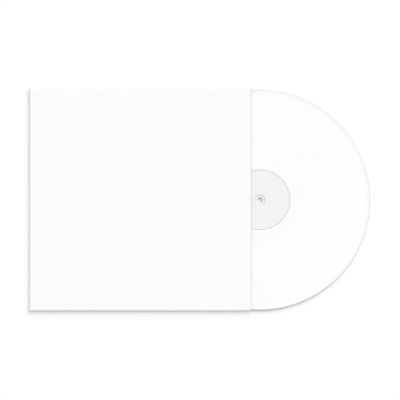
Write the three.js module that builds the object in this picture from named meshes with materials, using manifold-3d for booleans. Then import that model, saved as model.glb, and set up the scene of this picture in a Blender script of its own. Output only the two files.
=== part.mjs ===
// A 12-inch vinyl record lying half out of its folded card jacket. Millimetres, +Z up.
// The object lies flat. X runs from the jacket's spine to its mouth, and Y along the spine.
// The origin is at the middle of the whole footprint, on the surface that the jacket lies on.
import * as THREE from "three";
import { mergeVertices } from "three/addons/utils/BufferGeometryUtils.js";
import Module from "manifold-3d";

const wasm = await Module();
wasm.setup();

// The jacket: one sheet of card, folded and glued into a pocket that is open at one side
const BOARD = 0.5;
const JACKET_WIDTH = 303.5; // spine to mouth
const JACKET_HEIGHT = 306; // along the spine
const JACKET_DEPTH = 4.8; // outside, front cover to back cover
const CREASE_RADIUS = 0.9; // outside of each fold
const FLAP_WIDTH = 18; // each glue flap, from the jacket's edge inwards
const FLAP_TAPER = 9; // length over which a flap narrows at each end
const FLAP_TIP = 7; // width that is left at a flap's ends
const FLAP_END_GAP = 4; // a flap stops this far from the spine and from the mouth
const BACK_INSET = 0.35; // the back cover's cut edge stops short of the gusset's face
const CORNER_SLIT = 0.3; // the gap where a gusset meets the spine

// The disc: one pressing, the same on both sides
const DISC_RADIUS = 150.8;
const SPINDLE_HOLE_RADIUS = 3.62;
const RIM_THICKNESS = 2.1; // the raised bead that keeps the grooves off a turntable mat
const RIM_ROUND = 0.45;
const RIM_WIDTH = 1.6;
const RIM_SLOPE = 3;
const TRACK_THICKNESS = 1.8;
const TRACKS_OUTER_RADIUS = 146.0;
const TRACK_WIDTHS = [19.4, 22.6, 17.9, 24.3]; // from the rim inwards
const TRACK_GAP = 1.3; // the plain ridge between two tracks
const GROOVE_DEPTH = 0.03; // the grooved bands lie this far below the plain land
const CENTRE_THICKNESS = 2.2;
const CENTRE_LAND_RADIUS = 44;
const CENTRE_SLOPE = 8;
const CUP_RADIUS = 7.35; // the dish that the press leaves around the spindle hole
const CUP_DEPTH = 0.7;
const CUP_CURVE = 3; // the dish's power: flat by the hole, steep at its edge
const CUP_STEPS = 3;

// The labels: paper, pressed into a shallow recess on each side
const LABEL_RADIUS = 40.4;
const LABEL_THICKNESS = 0.15;
const MOAT_WIDTH = 0.8; // the pressed line around a label
const MOAT_DEPTH = 0.4;

// How the disc lies in the jacket
const PAST_MOUTH = 12; // the spindle hole's axis stands this far outside the mouth
const LYING_GAP = 0.1; // between the disc's bead and the flaps under it
const RIM_CLEARANCE = 0.3; // between the disc's edge and the lower gusset

const TURNED_SEGMENTS = 96;
const FOLD_SEGMENTS = 6;
const RIM_STEPS = 2;
const OVERCUT = 5; // how far a cutting body runs past what it cuts

const halfHeight = JACKET_HEIGHT / 2;
const totalWidth = JACKET_WIDTH + PAST_MOUTH + DISC_RADIUS;
const spineX = -totalWidth / 2;
const mouthX = spineX + JACKET_WIDTH;
const foldInside = CREASE_RADIUS - BOARD;

const disc = {
  x: mouthX + PAST_MOUTH,
  y: -(halfHeight - BOARD - RIM_CLEARANCE - DISC_RADIUS),
  z: 2 * BOARD + LYING_GAP + RIM_THICKNESS / 2,
};

// Turns a closed geometry into a solid that can be cut and joined.
function solidOf(geometry) {
  const bare = geometry.clone();
  bare.deleteAttribute("normal");
  bare.deleteAttribute("uv");
  const merged = mergeVertices(bare, 1e-4);
  return new wasm.Manifold(
    new wasm.Mesh({
      numProp: 3,
      vertProperties: merged.attributes.position.array,
      triVerts: new Uint32Array(merged.index.array),
    }),
  );
}

function geometryOf(solid) {
  const mesh = solid.getMesh();
  const geometry = new THREE.BufferGeometry();
  geometry.setAttribute("position", new THREE.BufferAttribute(mesh.vertProperties, mesh.numProp));
  geometry.setIndex(new THREE.BufferAttribute(mesh.triVerts, 1));
  geometry.computeVertexNormals();
  return geometry;
}

function box(low, high) {
  const size = high.map((value, axis) => value - low[axis]);
  const middle = high.map((value, axis) => (value + low[axis]) / 2);
  return solidOf(new THREE.BoxGeometry(...size).translate(...middle));
}

function extruded(shape, depth) {
  return new THREE.ExtrudeGeometry(shape, {
    depth,
    bevelEnabled: false,
    curveSegments: FOLD_SEGMENTS,
  });
}

// A section drawn in (Y, Z), run along X from one place to another.
function alongX(shape, from, to) {
  const geometry = extruded(shape, to - from);
  geometry.rotateY(Math.PI / 2).rotateX(Math.PI / 2);
  return solidOf(geometry.translate(from, 0, 0));
}

// A section drawn in (X, Z), run along Y, as far each way.
function alongY(shape, reach) {
  const geometry = extruded(shape, 2 * reach).rotateX(Math.PI / 2);
  return solidOf(geometry.translate(0, reach, 0));
}

// The outside of the jacket across the spine: the front cover turns down into the two gussets,
// each gusset turns in to its flap, and the back cover lies under the flaps with bare cut edges.
function outsideAcross() {
  const r = CREASE_RADIUS;
  const edge = halfHeight - BACK_INSET;
  const shape = new THREE.Shape();
  shape.moveTo(-edge, 0);
  shape.lineTo(edge, 0);
  shape.lineTo(edge, BOARD);
  shape.lineTo(halfHeight - r, BOARD);
  shape.absarc(halfHeight - r, BOARD + r, r, -Math.PI / 2, 0);
  shape.absarc(halfHeight - r, JACKET_DEPTH - r, r, 0, Math.PI / 2);
  shape.absarc(r - halfHeight, JACKET_DEPTH - r, r, Math.PI / 2, Math.PI);
  shape.absarc(r - halfHeight, BOARD + r, r, Math.PI, 1.5 * Math.PI);
  shape.lineTo(-edge, BOARD);
  return shape;
}

// A rectangle with rounded corners, between two corners.
function roundedRectangle(low, high, r) {
  const shape = new THREE.Shape();
  shape.absarc(high[0] - r, low[1] + r, r, -Math.PI / 2, 0);
  shape.absarc(high[0] - r, high[1] - r, r, 0, Math.PI / 2);
  shape.absarc(low[0] + r, high[1] - r, r, Math.PI / 2, Math.PI);
  shape.absarc(low[0] + r, low[1] + r, r, Math.PI, 1.5 * Math.PI);
  return shape;
}

// A glue flap's outline, lying on the back cover: side is 1 at the top of the jacket, -1 at the bottom.
function flap(side) {
  const wall = side * (halfHeight - BOARD / 2);
  const tip = side * (halfHeight - FLAP_TIP);
  const inner = side * (halfHeight - FLAP_WIDTH);
  const start = spineX + FLAP_END_GAP;
  const end = mouthX - FLAP_END_GAP;
  const outline = [
    [start, wall],
    [start, tip],
    [start + FLAP_TAPER, inner],
    [end - FLAP_TAPER, inner],
    [end, tip],
    [end, wall],
  ].map(([x, y]) => new THREE.Vector2(x, y));
  if (side < 0) outline.reverse();
  const geometry = extruded(new THREE.Shape(outline), 2 * BOARD);
  return solidOf(geometry.translate(0, 0, BOARD / 2));
}

function cornerSlit(side) {
  const outer = side * (halfHeight + OVERCUT);
  const inner = side * (halfHeight - CREASE_RADIUS);
  return box(
    [spineX + BOARD, Math.min(outer, inner), BOARD],
    [spineX + BOARD + CORNER_SLIT, Math.max(outer, inner), JACKET_DEPTH - CREASE_RADIUS],
  );
}

function jacket() {
  const past = mouthX + OVERCUT;
  const outside = alongX(outsideAcross(), spineX, mouthX).intersect(
    alongY(roundedRectangle([spineX, 0], [past, JACKET_DEPTH], CREASE_RADIUS), halfHeight),
  );
  const wall = halfHeight - BOARD;
  const ceiling = JACKET_DEPTH - BOARD;
  const roomAbove = alongX(
    roundedRectangle([-wall, 2 * BOARD], [wall, ceiling], foldInside),
    spineX + BOARD,
    past,
  ).intersect(
    alongY(roundedRectangle([spineX + BOARD, BOARD], [past + OVERCUT, ceiling], foldInside), wall),
  );
  const roomBetweenFlaps = box([spineX + CREASE_RADIUS, -wall, BOARD], [past, wall, 2.5 * BOARD])
    .subtract(flap(1))
    .subtract(flap(-1));
  return outside
    .subtract(roomAbove)
    .subtract(roomBetweenFlaps)
    .subtract(cornerSlit(1))
    .subtract(cornerSlit(-1));
}

// The face that a label shows or lies on, from the spindle hole out to the label's edge.
// below is how far it lies under the plain land around the label.
function labelBed(below) {
  const flat = CENTRE_THICKNESS / 2 - below;
  const points = [];
  for (let k = 0; k <= CUP_STEPS; k++) {
    const share = k / CUP_STEPS;
    const radius = SPINDLE_HOLE_RADIUS + (CUP_RADIUS - SPINDLE_HOLE_RADIUS) * share;
    points.push([radius, flat - CUP_DEPTH * (1 - share ** CUP_CURVE)]);
  }
  return [...points, [LABEL_RADIUS, flat]];
}

// The grooved bands from the rim inwards, each a flat floor with a ridge of plain land after it.
function bands() {
  const land = TRACK_THICKNESS / 2;
  const floor = land - GROOVE_DEPTH;
  const points = [[TRACKS_OUTER_RADIUS, floor]];
  let radius = TRACKS_OUTER_RADIUS;
  TRACK_WIDTHS.forEach((width, track) => {
    radius -= width;
    points.push([radius, floor]);
    if (track < TRACK_WIDTHS.length - 1) points.push([radius - TRACK_GAP / 2, land]);
    radius -= TRACK_GAP;
    points.push([radius, track < TRACK_WIDTHS.length - 1 ? floor : land]);
  });
  return points.reverse();
}

// One face of the disc as [radius, height above the middle plane], from the hole to the rim.
function discFace() {
  const centre = CENTRE_THICKNESS / 2;
  const bead = RIM_THICKNESS / 2;
  const beadInner = DISC_RADIUS - RIM_WIDTH;
  const points = [
    ...labelBed(LABEL_THICKNESS),
    [LABEL_RADIUS + MOAT_WIDTH / 2, centre - MOAT_DEPTH],
    [LABEL_RADIUS + MOAT_WIDTH, centre],
    [CENTRE_LAND_RADIUS, centre],
    [CENTRE_LAND_RADIUS + CENTRE_SLOPE, TRACK_THICKNESS / 2],
    ...bands(),
    [beadInner - RIM_SLOPE, TRACK_THICKNESS / 2],
    [beadInner, bead],
  ];
  for (let k = 0; k <= RIM_STEPS; k++) {
    const turn = ((k / RIM_STEPS) * Math.PI) / 2;
    points.push([
      DISC_RADIUS - RIM_ROUND * (1 - Math.sin(turn)),
      bead - RIM_ROUND * (1 - Math.cos(turn)),
    ]);
  }
  return points;
}

// Turns a closed outline of [radius, height] about the Z axis.
function turned(outline) {
  const points = [...outline, outline[0]].map(([r, z]) => new THREE.Vector2(r, z));
  return new THREE.LatheGeometry(points, TURNED_SEGMENTS).rotateX(Math.PI / 2);
}

function pressing() {
  const top = discFace();
  const bottom = top.map(([r, z]) => [r, -z]);
  return turned([...bottom, ...top.reverse()]);
}

// A label follows the dish down to the hole. side is 1 for the upper face, -1 for the lower.
function label(side) {
  const outline = [...labelBed(LABEL_THICKNESS), ...labelBed(0).reverse()];
  const placed = outline.map(([r, z]) => [r, side * z]);
  return turned(side > 0 ? placed : placed.reverse());
}

function named(name, geometry, material) {
  const mesh = new THREE.Mesh(geometry, material);
  mesh.name = name;
  return mesh;
}

const card = new THREE.MeshStandardMaterial({ color: 0xfbfbfb, roughness: 0.85, metalness: 0 });
const vinyl = new THREE.MeshStandardMaterial({ color: 0xfdfdfd, roughness: 0.35, metalness: 0 });
const paper = new THREE.MeshStandardMaterial({ color: 0xf3f3f3, roughness: 0.8, metalness: 0 });

const record = new THREE.Group();
record.add(named("record_disc", pressing(), vinyl));
record.add(named("label_side_a", label(1), paper));
record.add(named("label_side_b", label(-1), paper));
record.position.set(disc.x, disc.y, disc.z);

const whole = new THREE.Group();
whole.add(named("jacket", geometryOf(jacket()), card));
whole.add(record);

export default whole;
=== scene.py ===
"""Looks for a white 12-inch record lying half out of its white card jacket, seen from straight above.

Metres, +Z up. X runs from the jacket's spine to its mouth, and Y along the spine.
"""

import math

import bmesh
import bpy
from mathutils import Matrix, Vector, noise


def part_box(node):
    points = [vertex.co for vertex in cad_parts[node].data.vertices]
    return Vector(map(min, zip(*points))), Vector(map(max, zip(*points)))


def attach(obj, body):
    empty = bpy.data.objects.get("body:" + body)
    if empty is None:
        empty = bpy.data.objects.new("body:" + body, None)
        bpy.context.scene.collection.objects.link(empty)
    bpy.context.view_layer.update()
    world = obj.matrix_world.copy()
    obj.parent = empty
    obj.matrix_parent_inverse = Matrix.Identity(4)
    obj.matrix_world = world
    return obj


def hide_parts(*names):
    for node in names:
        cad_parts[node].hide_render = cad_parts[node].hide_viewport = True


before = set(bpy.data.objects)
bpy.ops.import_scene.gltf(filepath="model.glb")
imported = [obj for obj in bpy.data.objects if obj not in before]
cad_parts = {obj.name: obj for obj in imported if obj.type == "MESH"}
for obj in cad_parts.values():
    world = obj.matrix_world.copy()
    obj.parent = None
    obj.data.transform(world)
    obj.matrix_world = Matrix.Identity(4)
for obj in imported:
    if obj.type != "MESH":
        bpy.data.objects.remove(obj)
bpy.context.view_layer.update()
MM = 0.001

# The view: the photograph looks straight down and is square
PICTURE_PIXELS = 400
DISC_CENTRE_PIXELS = (260.0, 200.0)
DISC_WIDTH_PIXELS = 220.0
LENS = 150.0
SENSOR = 36.0

# The light: a broad soft lamp above and to the right, and an even glow from all round
LAMP_AZIMUTH = math.radians(56)  # from +X towards +Y
LAMP_ELEVATION = math.radians(38)
LAMP_SPREAD = math.radians(58)
LAMP_SHARE = 0.43  # of the light on a level surface
GLOW_SHARE = 0.573
FLOOR_GAP = 0.1 * MM
FLOOR_REACH = 6.0
FLOOR_LIFT = 0.04  # the floor's own brightness, for the camera alone

# The disc, the same on both sides
RIM_ROUND = 0.2 * MM
RIM_WIDTH = 1.6 * MM
RIM_SLOPE = 3.0 * MM
RIM_THICKNESS = 2.1 * MM
RIM_SHADE_WIDTH = 0.9 * MM  # the band at the rim where shade is painted as a grey ring
TRACK_THICKNESS = 1.8 * MM
TRACKS_OUTER_RADIUS = 146.0 * MM
TRACK_WIDTHS = [width * MM for width in (19.4, 22.6, 17.9, 24.3)]
TRACK_GAP = 1.3 * MM
GROOVE_DEPTH = 0.02 * MM
GROOVE_PITCH = 1.1 * MM  # of the grooves cut as geometry; the fine ones are in the material
GROOVE_RELIEF = 0.012 * MM
FINE_GROOVE_PITCH = 0.32 * MM
FINE_GROOVE_DEPTH = 0.004 * MM
RECORDED_EDGE = 0.3 * MM  # how softly the recorded bands' gloss ends
CENTRE_THICKNESS = 2.2 * MM
CENTRE_LAND_RADIUS = 44 * MM
CENTRE_SLOPE = 8 * MM
SPINDLE_HOLE_RADIUS = 3.62 * MM
CUP_RADIUS = 7.35 * MM
CUP_DEPTH = 0.7 * MM
CUP_CURVE = 3
CUP_SHADE_WIDTH = 1.2 * MM  # the ring inside the cup's edge where its shade is painted onto the paper
CUP_SHADE_SOFTNESS = 0.15 * MM
CREASE_HOLD = 0.12 * MM  # keeps a flat's shading flat up to the edge where it bends
LABEL_THICKNESS = 0.15 * MM
MOAT_WIDTH = 0.8 * MM
MOAT_DEPTH = 0.4 * MM
MOAT_SHADE_SOFTNESS = 0.1 * MM  # how softly its painted shade ends
DISC_SEGMENTS = 256
SHARP_ANGLE = math.radians(18)
LABEL_SEGMENTS = 160

# The jacket
BOARD = 0.5 * MM
COVER_SAG = 0.22 * MM  # how far the front cover sinks towards the disc at its middle
COVER_SAG_START = 0.55  # share of the way to the mouth where it is whole
COVER_WAVE = 0.04 * MM
COVER_WAVE_LENGTH = 90 * MM
COVER_GRID = 7 * MM
MOUTH_BRUISE = 0.34 * MM  # how far the cut edge at the mouth is rounded over, outside
MOUTH_SOFTNESS = 0.1 * MM  # and inside
MOUTH_NEAR = 0.02 * MM  # an edge this near the mouth's plane lies in it
CUT_TURN = math.radians(45)  # a cut edge turns at least this far
FOLD_NEAR = 0.3 * MM  # a face this near the outside belongs to a fold
WELD = 0.002 * MM  # points closer than this are one

# Tones, as linear albedo
CARD_TONE = 0.961
CARD_CORE_TONE = 0.26
VINYL_TONE = 0.972
# Painted shade along the disc's rim, as a grey ring
RIM_PAINTED_SHADE_TONE = 0.64
# Painted shade in the moat groove round the label
MOAT_PAINTED_SHADE_TONE = 0.6
PAPER_TONE = 0.893
# Painted shade inside the cup round the spindle hole
CUP_PAINTED_SHADE_TONE = 0.7
FLOOR_TONE = 0.75
FLOOR_SEEN_TONE = 0.965


def grey(tone):
    return (tone, tone, tone, 1.0)


def middle(low, high):
    return (Vector(low) + Vector(high)) / 2


# Materials


class Shader:
    """A material's node tree, with short calls to add and link nodes."""

    def __init__(self, name):
        self.material = bpy.data.materials.new(name)
        self.material.use_nodes = True
        self.tree = self.material.node_tree
        self.tree.nodes.clear()
        self.output = self.add("ShaderNodeOutputMaterial")

    def add(self, kind, links=None, **values):
        """Adds a node. values sets its properties or inputs, and links feeds inputs from other nodes."""
        node = self.tree.nodes.new(kind)
        for key, value in values.items():
            if hasattr(node, key):
                setattr(node, key, value)
            else:
                node.inputs[key.replace("_", " ")].default_value = value
        for key, source in (links or {}).items():
            self.tree.links.new(source, node.inputs[key])
        return node

    def principled(self, **values):
        node = self.add("ShaderNodeBsdfPrincipled")
        for key, value in values.items():
            node.inputs[key.replace("_", " ")].default_value = value
        self.tree.links.new(node.outputs["BSDF"], self.output.inputs["Surface"])
        return node

    def coordinates(self):
        return self.add("ShaderNodeTexCoord").outputs["Object"]

    def noise(self, scale, detail=3.0, roughness=0.5, stretch=(1, 1, 1)):
        mapped = self.add("ShaderNodeMapping", {"Vector": self.coordinates()}, Scale=stretch)
        node = self.add("ShaderNodeTexNoise", {"Vector": mapped.outputs["Vector"]})
        node.inputs["Scale"].default_value = scale
        node.inputs["Detail"].default_value = detail
        node.inputs["Roughness"].default_value = roughness
        return node.outputs["Fac"]

    def math(self, operation, first, second):
        node = self.add("ShaderNodeMath", operation=operation)
        for place, value in enumerate((first, second)):
            if isinstance(value, (int, float)):
                node.inputs[place].default_value = value
            else:
                self.tree.links.new(value, node.inputs[place])
        return node.outputs[0]

    def spread(self, value, low, high, out_low, out_high):
        """Maps value from one range to another, held at its ends."""
        node = self.add("ShaderNodeMapRange", {"Value": value})
        for name, number in zip(
            ("From Min", "From Max", "To Min", "To Max"), (low, high, out_low, out_high)
        ):
            node.inputs[name].default_value = number
        return node.outputs["Result"]

    def greys(self, value, dark, light):
        """A grey that runs from dark to light as value runs from 0 to 1."""
        ramp = self.add("ShaderNodeValToRGB", {"Fac": value})
        ramp.color_ramp.elements[0].color = grey(dark)
        ramp.color_ramp.elements[1].color = grey(light)
        return ramp.outputs["Color"]

    def blend(self, share, colour, tone):
        """The colour, turning to a plain grey as share runs from 0 to 1."""
        node = self.add("ShaderNodeMix", data_type="RGBA")
        self.tree.links.new(share, node.inputs["Factor"])
        self.tree.links.new(colour, node.inputs["A"])
        node.inputs["B"].default_value = grey(tone)
        return node.outputs["Result"]

    def band(self, value, low, high, soft):
        """1 where value lies between low and high, and 0 elsewhere."""
        above = self.spread(value, low - soft, low + soft, 0, 1)
        below = self.spread(value, high - soft, high + soft, 1, 0)
        return self.math("MULTIPLY", above, below)

    def bump(self, height, distance, strength=1.0, under=None):
        links = {"Height": height}
        if under is not None:
            links["Normal"] = under
        node = self.add("ShaderNodeBump", links)
        node.inputs["Distance"].default_value = distance
        node.inputs["Strength"].default_value = strength
        return node.outputs["Normal"]

    def radius(self):
        """Distance from the piece's own axis."""
        flat = self.add("ShaderNodeVectorMath", operation="MULTIPLY")
        self.tree.links.new(self.coordinates(), flat.inputs[0])
        flat.inputs[1].default_value = (1, 1, 0)
        length = self.add("ShaderNodeVectorMath", operation="LENGTH")
        self.tree.links.new(flat.outputs["Vector"], length.inputs[0])
        return length.outputs["Value"]

    def feed(self, node, **sources):
        for key, source in sources.items():
            self.tree.links.new(source, node.inputs[key.replace("_", " ")])


def card_material():
    """Matt white card with a faint linen finish: fine threads both ways over slow cloudiness."""
    shader = Shader("white_card")
    surface = shader.principled(Specular_IOR_Level=0.35)
    along = shader.noise(260, 4, 0.6, stretch=(0.16, 1, 1))
    across = shader.noise(260, 4, 0.6, stretch=(1, 0.16, 1))
    threads = shader.math("ADD", along, across)
    cloud = shader.noise(14, 2, 0.5)
    tone = shader.math("ADD", threads, shader.math("MULTIPLY", cloud, 0.35))
    shade = shader.spread(tone, 0.85, 1.5, 0, 1)
    weave = shader.bump(threads, 0.05 * MM, 0.5)
    fibres = shader.bump(shader.noise(2600, 3, 0.6), 0.012 * MM, 0.6, under=weave)
    shader.feed(
        surface,
        Base_Color=shader.greys(shade, CARD_TONE - 0.014, CARD_TONE + 0.014),
        Roughness=shader.spread(cloud, 0.3, 0.7, 0.72, 0.86),
        Normal=fibres,
    )
    return shader.material


def core_material():
    """The cut edge of the board: pressed pulp in layers, a little darker than its faces."""
    shader = Shader("card_core")
    surface = shader.principled(Specular_IOR_Level=0.2)
    layers = shader.noise(900, 3, 0.6, stretch=(0.2, 0.2, 8))
    shader.feed(
        surface,
        Base_Color=shader.greys(layers, CARD_CORE_TONE - 0.06, CARD_CORE_TONE + 0.06),
        Roughness=shader.spread(layers, 0.3, 0.7, 0.86, 0.96),
        Normal=shader.bump(layers, 0.04 * MM, 0.7),
    )
    return shader.material


def vinyl_material(disc_radius, label_radius):
    """White vinyl: glossy on the plain lands, and finely ringed across the recorded bands; shade is
    painted as grey rings at the rim and in the moat.
    """
    shader = Shader("white_vinyl")
    surface = shader.principled(IOR=1.52, Anisotropic=0.6)
    tangent = shader.add("ShaderNodeTangent", direction_type="RADIAL", axis="Z")
    radius = shader.radius()
    inner = TRACKS_OUTER_RADIUS - sum(TRACK_WIDTHS) - TRACK_GAP * (len(TRACK_WIDTHS) - 1)
    inside = shader.spread(radius, inner - RECORDED_EDGE, inner + RECORDED_EDGE, 0, 1)
    outside = shader.spread(
        radius, TRACKS_OUTER_RADIUS - RECORDED_EDGE, TRACKS_OUTER_RADIUS + RECORDED_EDGE, 1, 0
    )
    recorded = shader.math("MULTIPLY", inside, outside)
    rings = shader.math("SINE", shader.math("MULTIPLY", radius, 2 * math.pi / FINE_GROOVE_PITCH), 0)
    grooves = shader.math("MULTIPLY", rings, recorded)
    loudness = shader.add("ShaderNodeTexNoise", noise_dimensions="1D")
    shader.feed(loudness, W=radius)
    loudness.inputs["Scale"].default_value = 900
    swirl = shader.noise(9, 3, 0.5)
    tone = shader.math(
        "ADD", swirl, shader.math("MULTIPLY", loudness.outputs["Fac"], recorded)
    )
    gloss = shader.spread(recorded, 0, 1, 0.2, 0.34)
    plain = shader.greys(
        shader.spread(tone, 0.4, 1.3, 0, 1), VINYL_TONE - 0.006, VINYL_TONE + 0.006
    )
    # Painted shade: a grey ring at the rim stands for the shade along the disc's edge.
    rim_shade_share = shader.spread(radius, disc_radius - RIM_SHADE_WIDTH, disc_radius - RIM_SHADE_WIDTH / 2, 0, 1)
    rim_shaded = shader.blend(rim_shade_share, plain, RIM_PAINTED_SHADE_TONE)
    # Painted shade: the moat groove is darkened where shade falls in it.
    moat_shade_share = shader.band(radius, label_radius, label_radius + MOAT_WIDTH, MOAT_SHADE_SOFTNESS)
    shader.feed(
        surface,
        Base_Color=shader.blend(moat_shade_share, rim_shaded, MOAT_PAINTED_SHADE_TONE),
        Roughness=shader.math("ADD", gloss, shader.spread(swirl, 0.35, 0.65, -0.03, 0.03)),
        Normal=shader.bump(grooves, FINE_GROOVE_DEPTH, 0.5),
        Tangent=tangent.outputs["Tangent"],
    )
    return shader.material


def label_material():
    """Pale grey uncoated paper, pressed smooth, with short fibres, and shade painted as a grey ring
    inside the cup's edge.
    """
    shader = Shader("label_paper")
    surface = shader.principled(Specular_IOR_Level=0.3)
    fibres = shader.noise(1500, 4, 0.65, stretch=(0.5, 1, 1))
    cloud = shader.noise(60, 3, 0.5)
    fine = shader.math("MULTIPLY", fibres, 0.6)
    tone = shader.math("ADD", fine, shader.math("MULTIPLY", cloud, 0.4))
    plain = shader.greys(
        shader.spread(tone, 0.3, 0.7, 0, 1), PAPER_TONE - 0.012, PAPER_TONE + 0.012
    )
    # Painted shade: a grey ring on the cup's steep outer slope, where shade falls.
    cup_shade_start = CUP_RADIUS - CUP_SHADE_WIDTH
    cup_shade_share = shader.band(shader.radius(), cup_shade_start, CUP_RADIUS, CUP_SHADE_SOFTNESS)
    shader.feed(
        surface,
        Base_Color=shader.blend(cup_shade_share, plain, CUP_PAINTED_SHADE_TONE),
        Roughness=shader.spread(cloud, 0.3, 0.7, 0.62, 0.74),
        Normal=shader.bump(fibres, 0.015 * MM, 0.6),
    )
    return shader.material


# Shapes


def new_object(name, mesh, place=(0, 0, 0)):
    piece = bpy.data.objects.new(name, mesh)
    piece.location = place
    bpy.context.collection.objects.link(piece)
    return piece


def finish_mesh(bm, name, sharp_angle):
    """Smooth shading, with every edge that turns more than sharp_angle kept sharp."""
    bmesh.ops.recalc_face_normals(bm, faces=bm.faces)
    for face in bm.faces:
        face.smooth = True
    for edge in bm.edges:
        edge.smooth = edge.calc_face_angle(0) < sharp_angle
    mesh = bpy.data.meshes.new(name)
    bm.to_mesh(mesh)
    bm.free()
    return mesh


def turned(name, outline, place, segments, material, node):
    """Turns a closed outline of (radius, height) about its own axis, to replace a node."""
    bm = bmesh.new()
    rings = []
    for radius, height in outline:
        ring = []
        for step in range(segments):
            turn = 2 * math.pi * step / segments
            ring.append(bm.verts.new((radius * math.cos(turn), radius * math.sin(turn), height)))
        rings.append(ring)
    for ring, after in zip(rings, rings[1:] + rings[:1]):
        for step in range(segments):
            beside = (step + 1) % segments
            bm.faces.new((ring[step], ring[beside], after[beside], after[step]))
    piece = new_object(name, finish_mesh(bm, name, SHARP_ANGLE), place)
    piece.data.materials.append(material)
    dress(piece, node)


def dress(piece, node):
    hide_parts(node)
    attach(piece, "root")


def arc(centre, radius, start, end, steps):
    """Points on an arc, from one angle to the other, in degrees."""
    points = []
    for step in range(steps + 1):
        turn = math.radians(start + (end - start) * step / steps)
        points.append(
            (centre[0] + radius * math.cos(turn), centre[1] + radius * math.sin(turn))
        )
    return points


def eased(start, end, steps=8):
    """Points from start to end, level at both ends."""
    points = []
    for step in range(steps + 1):
        share = step / steps
        rise = share * share * (3 - 2 * share)
        points.append(
            (start[0] + (end[0] - start[0]) * share, start[1] + (end[1] - start[1]) * rise)
        )
    return points


def label_bed(label_radius, below, steps=10):
    """The face that a label shows or lies on, from the spindle hole out to the label's edge."""
    flat = CENTRE_THICKNESS / 2 - below
    points = []
    for step in range(steps + 1):
        share = step / steps
        radius = SPINDLE_HOLE_RADIUS + (CUP_RADIUS - SPINDLE_HOLE_RADIUS) * share
        points.append((radius, flat - CUP_DEPTH * (1 - share**CUP_CURVE)))
    start = CUP_RADIUS + CREASE_HOLD
    for share in (0, 0.3, 0.6, 0.9, 1):
        points.append((start + (label_radius - start) * share, flat))
    return points


def recorded_bands():
    """The grooved bands from the centre outwards: shallow rings, with plain ridges between bands."""
    land = TRACK_THICKNESS / 2
    floor = land - GROOVE_DEPTH
    points = []
    outer = TRACKS_OUTER_RADIUS
    for width in TRACK_WIDTHS:
        inner = outer - width
        turns = round(width / GROOVE_PITCH)
        points.append((outer, land))
        for turn in range(turns):
            for share, relief in ((0.25, 0), (0.75, GROOVE_RELIEF)):
                radius = outer - width * (turn + share) / turns
                points.append((radius, floor + relief))
        points.append((inner, land))
        outer = inner - TRACK_GAP
    return points[::-1]


def disc_face(disc_radius, label_radius):
    """One face of the disc as (radius, height above the middle plane), from the hole to the rim."""
    centre = CENTRE_THICKNESS / 2
    bead = RIM_THICKNESS / 2
    bead_inner = disc_radius - RIM_WIDTH
    moat = [
        (label_radius + MOAT_WIDTH * share, centre - MOAT_DEPTH * depth)
        for share, depth in ((0.2, 0.8), (0.4, 1), (0.6, 1), (0.8, 0.8), (1, 0.1), (1.2, 0))
    ]
    fall = eased(
        (CENTRE_LAND_RADIUS, centre), (CENTRE_LAND_RADIUS + CENTRE_SLOPE, TRACK_THICKNESS / 2)
    )
    rise = eased((bead_inner - RIM_SLOPE, TRACK_THICKNESS / 2), (bead_inner, bead))
    rim = arc((disc_radius - RIM_ROUND, bead - RIM_ROUND), RIM_ROUND, 90, 0, 8)
    return label_bed(label_radius, LABEL_THICKNESS) + moat + fall + recorded_bands() + rise + rim


def make_disc(place, disc_radius, label_radius, vinyl, paper):
    top = disc_face(disc_radius, label_radius)
    bottom = [(radius, -height) for radius, height in top]
    turned(
        "pressed_disc", bottom + top[::-1], place, DISC_SEGMENTS, vinyl, "record_disc"
    )
    outer = label_bed(label_radius, 0)
    inner = label_bed(label_radius, LABEL_THICKNESS)
    sides = (("paper_label_a", "label_side_a", 1), ("paper_label_b", "label_side_b", -1))
    for name, node, side in sides:
        outline = [(radius, side * height) for radius, height in inner + outer[::-1]]
        turned(name, outline, place, LABEL_SEGMENTS, paper, node)


def cover_drop(point, low, high):
    """How far the front cover sinks at a place: nothing at its folds, most along the mouth's middle."""
    across = (point.y - low.y) / (high.y - low.y)
    along = min(1, (point.x - low.x) / (COVER_SAG_START * (high.x - low.x)))
    share = max(0, 4 * across * (1 - across)) * along * along * (3 - 2 * along)
    wave = noise.noise(Vector((point.x, point.y, 0)) / COVER_WAVE_LENGTH)
    return share * share * (COVER_SAG - COVER_WAVE * wave)


def round_mouth(bm, low, high):
    """Rounds the cut edges that lie in the mouth's plane, most on the outside."""
    wall = 0.9 * BOARD
    outside, inside = [], []
    for edge in bm.edges:
        if any(abs(vert.co.x - high.x) > MOUTH_NEAR for vert in edge.verts):
            continue
        if edge.calc_face_angle(0) < CUT_TURN:
            continue
        place = (edge.verts[0].co + edge.verts[1].co) / 2
        depth = min(place.y - low.y, high.y - place.y, place.z - low.z, high.z - place.z)
        (outside if depth < wall else inside).append(edge)
    for edges, width in ((inside, MOUTH_SOFTNESS), (outside, MOUTH_BRUISE)):
        kept = [edge for edge in edges if edge.is_valid]
        bmesh.ops.bevel(bm, geom=kept, offset=width, segments=3, profile=0.5, affect="EDGES")


def mark_cut_edges(bm, low, high):
    """Gives the second material to faces where the board's core shows."""
    for face in bm.faces:
        place = face.calc_center_median()
        at_mouth = place.x > high.x - MOUTH_BRUISE and abs(face.normal.z) < 0.99
        on_fold = min(place.y - low.y, high.y - place.y, place.x - low.x) < FOLD_NEAR
        low_edge = place.z < 2 * BOARD and abs(face.normal.z) < 0.3 and not on_fold
        face.material_index = 1 if at_mouth or low_edge else 0


def cut_across(bm, axis, distance):
    """Adds edges where the plane at this distance along an axis crosses the mesh."""
    place, across = [0, 0, 0], [0, 0, 0]
    place[axis] = distance
    across[axis] = 1
    everything = bm.verts[:] + bm.edges[:] + bm.faces[:]
    bmesh.ops.bisect_plane(bm, geom=everything, plane_co=place, plane_no=across)


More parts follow.
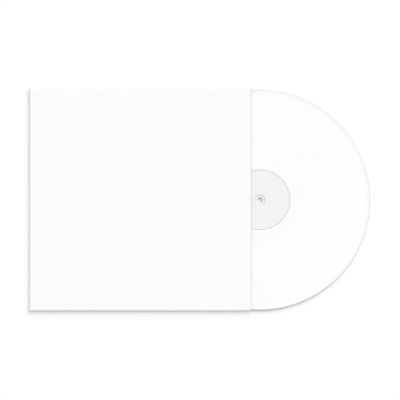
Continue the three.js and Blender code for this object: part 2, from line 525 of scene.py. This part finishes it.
def make_jacket(card, core):
    """The folded card, with softened cut edges and a front cover that sinks a little."""
    low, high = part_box("jacket")
    bm = bmesh.new()
    bm.from_mesh(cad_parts["jacket"].data)
    bmesh.ops.remove_doubles(bm, verts=bm.verts, dist=WELD)
    bmesh.ops.dissolve_limit(bm, angle_limit=math.radians(0.5), verts=bm.verts, edges=bm.edges)
    round_mouth(bm, low, high)
    bm.normal_update()
    mark_cut_edges(bm, low, high)
    for axis in (0, 1):
        cuts = round((high[axis] - low[axis]) / COVER_GRID)
        for cut in range(1, cuts):
            cut_across(bm, axis, low[axis] + (high[axis] - low[axis]) * cut / cuts)
    cut_across(bm, 0, high.x - MOUTH_BRUISE - CREASE_HOLD)
    bmesh.ops.remove_doubles(bm, verts=bm.verts, dist=WELD)
    bmesh.ops.dissolve_degenerate(bm, dist=WELD, edges=bm.edges)
    for vert in bm.verts:
        if vert.co.z > high.z - 1.4 * BOARD:
            vert.co.z -= cover_drop(vert.co, low, high)
    piece = new_object("card_jacket", finish_mesh(bm, "card_jacket", SHARP_ANGLE))
    piece.data.materials.append(card)
    piece.data.materials.append(core)
    dress(piece, "jacket")


# The stage


def make_floor():
    shader = Shader("pale_floor")
    path = shader.add("ShaderNodeLightPath")
    seen = shader.math("MAXIMUM", path.outputs["Is Camera Ray"], path.outputs["Is Glossy Ray"])
    seen = shader.math("MAXIMUM", seen, path.outputs["Is Transmission Ray"])
    plain = shader.add("ShaderNodeBsdfDiffuse", Color=grey(FLOOR_TONE))
    bright = shader.add("ShaderNodeBsdfDiffuse", Color=grey(FLOOR_SEEN_TONE))
    lift = shader.add("ShaderNodeEmission", Color=grey(1.0), Strength=FLOOR_LIFT)
    lifted = shader.add("ShaderNodeAddShader")
    shader.tree.links.new(bright.outputs[0], lifted.inputs[0])
    shader.tree.links.new(lift.outputs[0], lifted.inputs[1])
    choice = shader.add("ShaderNodeMixShader", {"Fac": seen})
    shader.tree.links.new(plain.outputs[0], choice.inputs[1])
    shader.tree.links.new(lifted.outputs[0], choice.inputs[2])
    shader.tree.links.new(choice.outputs[0], shader.output.inputs["Surface"])
    bm = bmesh.new()
    bmesh.ops.create_grid(bm, x_segments=8, y_segments=8, size=FLOOR_REACH)
    floor = new_object("floor", finish_mesh(bm, "floor", math.pi), (0, 0, -FLOOR_GAP))
    floor.data.materials.append(shader.material)


def light_scene():
    world = bpy.data.worlds.new("studio")
    bpy.context.scene.world = world
    world.use_nodes = True
    tree = world.node_tree
    tree.nodes.clear()
    path = tree.nodes.new("ShaderNodeLightPath")
    output = tree.nodes.new("ShaderNodeOutputWorld")
    glow = tree.nodes.new("ShaderNodeBackground")
    glow.inputs["Color"].default_value = grey(1.0)
    glow.inputs["Strength"].default_value = GLOW_SHARE
    backdrop = tree.nodes.new("ShaderNodeBackground")
    backdrop.inputs["Color"].default_value = grey(1.0)
    backdrop.inputs["Strength"].default_value = 1.0
    seen = path.outputs["Is Camera Ray"]
    for ray in ("Is Glossy Ray", "Is Transmission Ray"):
        either = tree.nodes.new("ShaderNodeMath")
        either.operation = "MAXIMUM"
        tree.links.new(seen, either.inputs[0])
        tree.links.new(path.outputs[ray], either.inputs[1])
        seen = either.outputs[0]
    choice = tree.nodes.new("ShaderNodeMixShader")
    tree.links.new(seen, choice.inputs["Fac"])
    tree.links.new(glow.outputs[0], choice.inputs[1])
    tree.links.new(backdrop.outputs[0], choice.inputs[2])
    tree.links.new(choice.outputs[0], output.inputs["Surface"])

    lamp = bpy.data.lights.new("key", "SUN")
    lamp.angle = LAMP_SPREAD
    lamp.energy = LAMP_SHARE * math.pi / math.sin(LAMP_ELEVATION)
    key = bpy.data.objects.new("key", lamp)
    level = math.cos(LAMP_ELEVATION)
    towards = Vector(
        (
            level * math.cos(LAMP_AZIMUTH),
            level * math.sin(LAMP_AZIMUTH),
            math.sin(LAMP_ELEVATION),
        )
    )
    key.location = towards * 2
    key.rotation_euler = towards.to_track_quat("Z", "Y").to_euler()
    bpy.context.collection.objects.link(key)


def make_camera(disc_low, disc_high):
    """Straight above, so that the disc lands on its pixels in the photograph."""
    scale = (disc_high.x - disc_low.x) / DISC_WIDTH_PIXELS
    disc = middle(disc_low, disc_high)
    offset = [place - PICTURE_PIXELS / 2 for place in DISC_CENTRE_PIXELS]
    distance = PICTURE_PIXELS * scale * LENS / SENSOR
    data = bpy.data.cameras.new("camera")
    data.lens = LENS
    data.sensor_width = SENSOR
    data.clip_start = 0.05
    data.clip_end = 50
    camera = bpy.data.objects.new("camera", data)
    camera.location = (
        disc.x - offset[0] * scale,
        disc.y + offset[1] * scale,
        disc_high.z + distance,
    )
    bpy.context.collection.objects.link(camera)
    bpy.context.scene.camera = camera


disc_low, disc_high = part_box("record_disc")
disc_radius = (disc_high.x - disc_low.x) / 2
label_low, label_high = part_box("label_side_a")
label_radius = (label_high.x - label_low.x) / 2
make_camera(disc_low, disc_high)
light_scene()
make_floor()
make_jacket(card_material(), core_material())
make_disc(
    middle(disc_low, disc_high),
    disc_radius,
    label_radius,
    vinyl_material(disc_radius, label_radius),
    label_material(),
)
bpy.context.scene.view_settings.view_transform = "Standard"
